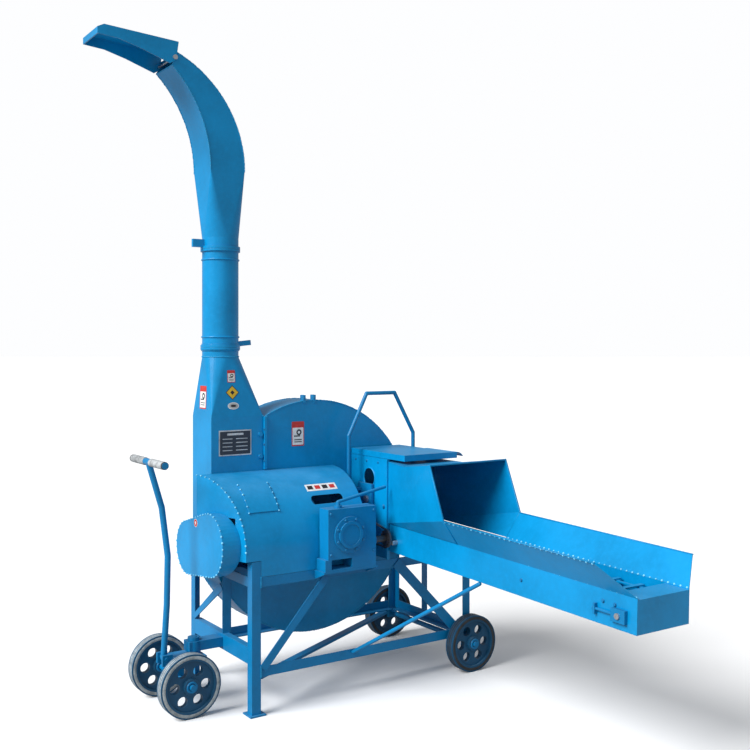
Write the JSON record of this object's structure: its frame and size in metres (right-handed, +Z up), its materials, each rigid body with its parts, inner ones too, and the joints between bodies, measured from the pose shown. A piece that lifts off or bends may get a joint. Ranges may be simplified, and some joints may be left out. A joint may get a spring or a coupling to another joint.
{
  "type": "forage chopper and hammer mill",
  "caption": "Wheeled forage mill: a round drum with knives and swinging hammers, a feed trough with rollers, and a tall curved blower spout.",
  "frame": {"origin": "on the ground under the outer corner of the front left leg", "axes": "+X right along the front, +Y to the rear, +Z up"},
  "size_m": [1.751, 2.0737, 2.752],
  "materials": {
    "front_left_leg": "gloss enamel",
    "rear_left_leg": "gloss enamel",
    "right_posts": "gloss enamel",
    "front_rails": "gloss enamel",
    "rear_rails": "gloss enamel",
    "side_rails": "gloss enamel",
    "frame_braces": "gloss enamel",
    "drum_casing": "gloss enamel",
    "duct_base": "gloss enamel",
    "drum_cover": "gloss enamel",
    "cover_hinge_pin": "satin",
    "cover_bolts": "satin",
    "shear_bar": "satin",
    "main_shaft": "satin",
    "bevel_gear": "satin",
    "knife_disc": "gloss enamel",
    "rear_disc": "gloss enamel",
    "knives": "satin",
    "fan_paddles": "gloss enamel",
    "hammer_pins": "satin",
    "hammers_1": "satin",
    "hammers_2": "satin",
    "hammers_3": "satin",
    "hammers_4": "satin",
    "rear_bearing": "gloss enamel",
    "gear_block": "gloss enamel",
    "feed_worm": "satin",
    "output_shaft": "satin",
    "drive_chain": "satin",
    "motor_housing": "painted",
    "motor_shaft": "satin",
    "motor_hood": "gloss enamel",
    "hood_hatch": "gloss enamel",
    "end_cover": "gloss enamel",
    "shift_lever": "gloss enamel",
    "roller_housing": "gloss enamel",
    "housing_lid": "gloss enamel",
    "lower_roller": "satin",
    "upper_roller": "satin",
    "roller_carriers": "gloss enamel",
    "lifting_bail": "gloss enamel",
    "feed_hood": "gloss enamel",
    "feed_trough": "gloss enamel",
    "slat_chain": "satin",
    "head_shaft": "satin",
    "tail_shaft": "satin",
    "chain_tensioner": "gloss enamel",
    "blower_pipe": "gloss enamel",
    "spout": "gloss enamel",
    "deflector": "gloss enamel",
    "deflector_pin": "satin",
    "rear_axle": "satin",
    "rear_wheels_left": "painted",
    "rear_wheels_right": "painted",
    "front_wheel_near": "painted",
    "front_wheel_far": "painted",
    "steer_bracket": "gloss enamel",
    "steer_axle": "gloss enamel",
    "tow_handle": "gloss enamel",
    "name_plate": "satin"
  },
  "bodies": {
    "frame": {"front_left_leg": "front_left_leg", "rear_left_leg": "rear_left_leg", "right_posts": "right_posts", "front_rails": "front_rails", "rear_rails": "rear_rails", "side_rails": "side_rails", "frame_braces": "frame_braces", "drum_casing": "drum_casing", "duct_base": "duct_base", "cover_hinge_pin": "cover_hinge_pin", "cover_bolts": "cover_bolts", "shear_bar": "shear_bar", "rear_bearing": "rear_bearing", "gear_block": "gear_block", "drive_chain": "drive_chain", "motor_housing": "motor_housing", "motor_hood": "motor_hood", "hood_hatch": "hood_hatch", "end_cover": "end_cover", "roller_housing": "roller_housing", "housing_lid": "housing_lid", "feed_hood": "feed_hood", "feed_trough": "feed_trough", "slat_chain": "slat_chain", "chain_tensioner": "chain_tensioner", "rear_axle": "rear_axle", "steer_bracket": "steer_bracket", "name_plate": "name_plate"},
    "rotor": {"main_shaft": "main_shaft", "bevel_gear": "bevel_gear", "knife_disc": "knife_disc", "rear_disc": "rear_disc", "knives": "knives", "fan_paddles": "fan_paddles", "hammer_pins": "hammer_pins", "feed_worm": "feed_worm"},
    "hammer_row_1": {"hammers_1": "hammers_1"},
    "hammer_row_2": {"hammers_2": "hammers_2"},
    "hammer_row_3": {"hammers_3": "hammers_3"},
    "hammer_row_4": {"hammers_4": "hammers_4"},
    "motor_rotor": {"motor_shaft": "motor_shaft"},
    "output": {"output_shaft": "output_shaft"},
    "lower_roll": {"lower_roller": "lower_roller"},
    "carriage": {"roller_carriers": "roller_carriers", "lifting_bail": "lifting_bail"},
    "upper_roll": {"upper_roller": "upper_roller"},
    "head": {"head_shaft": "head_shaft"},
    "tail": {"tail_shaft": "tail_shaft"},
    "lever": {"shift_lever": "shift_lever"},
    "cover": {"drum_cover": "drum_cover"},
    "pipe": {"blower_pipe": "blower_pipe"},
    "spout": {"spout": "spout"},
    "deflector": {"deflector": "deflector", "deflector_pin": "deflector_pin"},
    "wheel_left": {"rear_wheels_left": "rear_wheels_left"},
    "wheel_right": {"rear_wheels_right": "rear_wheels_right"},
    "steering": {"steer_axle": "steer_axle"},
    "wheel_near": {"front_wheel_near": "front_wheel_near"},
    "wheel_far": {"front_wheel_far": "front_wheel_far"},
    "tow_bar": {"tow_handle": "tow_handle"}
  },
  "joints": [
    {"name": "rotor_spin", "type": "hinge", "parent": "frame", "child": "rotor", "pos_m": [0.455, 0.3, 0.725], "axis": [0, 1, 0], "continuous": true},
    {"name": "hammer_swing_1", "type": "hinge", "parent": "rotor", "child": "hammer_row_1", "pos_m": [0.66713, 0.36, 0.51287], "axis": [0, 1, 0], "range_deg": [-170, 170]},
    {"name": "hammer_swing_2", "type": "hinge", "parent": "rotor", "child": "hammer_row_2", "pos_m": [0.24287, 0.36, 0.51287], "axis": [0, 1, 0], "range_deg": [-170, 170]},
    {"name": "hammer_swing_3", "type": "hinge", "parent": "rotor", "child": "hammer_row_3", "pos_m": [0.24287, 0.36, 0.93713], "axis": [0, 1, 0], "range_deg": [-170, 170]},
    {"name": "hammer_swing_4", "type": "hinge", "parent": "rotor", "child": "hammer_row_4", "pos_m": [0.66713, 0.36, 0.93713], "axis": [0, 1, 0], "range_deg": [-170, 170]},
    {"name": "motor_spin", "type": "hinge", "parent": "frame", "child": "motor_rotor", "pos_m": [0.1, 0.125, 0.725], "axis": [1, 0, 0], "continuous": true},
    {"name": "output_spin", "type": "hinge", "parent": "frame", "child": "output", "pos_m": [0.5, -0.064, 0.655], "axis": [1, 0, 0], "continuous": true},
    {"name": "lower_roller_spin", "type": "hinge", "parent": "frame", "child": "lower_roll", "pos_m": [0.78, 0.113, 0.676], "axis": [1, 0, 0], "continuous": true},
    {"name": "roller_lift", "type": "slide", "parent": "frame", "child": "carriage", "axis": [0, 0, 1], "range_m": [0, 0.1]},
    {"name": "upper_roller_spin", "type": "hinge", "parent": "carriage", "child": "upper_roll", "pos_m": [0.78, 0.113, 0.8], "axis": [1, 0, 0], "continuous": true},
    {"name": "head_shaft_spin", "type": "hinge", "parent": "frame", "child": "head", "pos_m": [0.7795, -0.09728, 0.63858], "axis": [1, 0, 0], "continuous": true},
    {"name": "tail_shaft_spin", "type": "hinge", "parent": "frame", "child": "tail", "pos_m": [0.7795, -1.35482, 0.60455], "axis": [1, 0, 0], "continuous": true},
    {"name": "lever_swing", "type": "hinge", "parent": "frame", "child": "lever", "pos_m": [0.375, -0.07, 0.82], "axis": [0, 0, 1], "range_deg": [-20, 8]},
    {"name": "cover_hinge", "type": "hinge", "parent": "frame", "child": "cover", "pos_m": [0.984, 0.358, 0.737], "axis": [0, 1, 0], "range_deg": [0, 100]},
    {"name": "pipe_swivel", "type": "hinge", "parent": "frame", "child": "pipe", "pos_m": [0.041, 0.358, 1.475], "axis": [0, 0, 1], "range_deg": [-175, 175]},
    {"name": "spout_swivel", "type": "hinge", "parent": "pipe", "child": "spout", "pos_m": [0.041, 0.358, 1.897], "axis": [0, 0, 1], "range_deg": [-175, 175]},
    {"name": "deflector_tilt", "type": "hinge", "parent": "spout", "child": "deflector", "pos_m": [-0.205, 0.358, 2.668], "axis": [0, 1, 0], "range_deg": [-35, 12]},
    {"name": "left_wheel_spin", "type": "hinge", "parent": "frame", "child": "wheel_left", "pos_m": [1.096, -0.058, 0.127], "axis": [0, 1, 0], "continuous": true},
    {"name": "right_wheel_spin", "type": "hinge", "parent": "frame", "child": "wheel_right", "pos_m": [1.096, 0.608, 0.127], "axis": [0, 1, 0], "continuous": true},
    {"name": "steering_turn", "type": "hinge", "parent": "frame", "child": "steering", "pos_m": [-0.12, 0.275, 0.24], "axis": [0, 0, 1], "range_deg": [-30, 30]},
    {"name": "near_wheel_spin", "type": "hinge", "parent": "steering", "child": "wheel_near", "pos_m": [-0.207, 0.1155, 0.127], "axis": [0, 1, 0], "continuous": true},
    {"name": "far_wheel_spin", "type": "hinge", "parent": "steering", "child": "wheel_far", "pos_m": [-0.207, 0.4345, 0.127], "axis": [0, 1, 0], "continuous": true},
    {"name": "tow_bar_tilt", "type": "hinge", "parent": "steering", "child": "tow_bar", "pos_m": [-0.251, 0.275, 0.205], "axis": [0, 1, 0], "range_deg": [-75, 5]}
  ],
  "couplings": [
    {"joint": "motor_spin", "follows": "rotor_spin", "ratio": -2},
    {"joint": "output_spin", "follows": "rotor_spin", "ratio": -0.066667},
    {"joint": "lower_roller_spin", "follows": "rotor_spin", "ratio": -0.049275},
    {"joint": "upper_roller_spin", "follows": "rotor_spin", "ratio": 0.049275},
    {"joint": "head_shaft_spin", "follows": "rotor_spin", "ratio": -0.0657},
    {"joint": "tail_shaft_spin", "follows": "rotor_spin", "ratio": -0.0657}
  ]
}
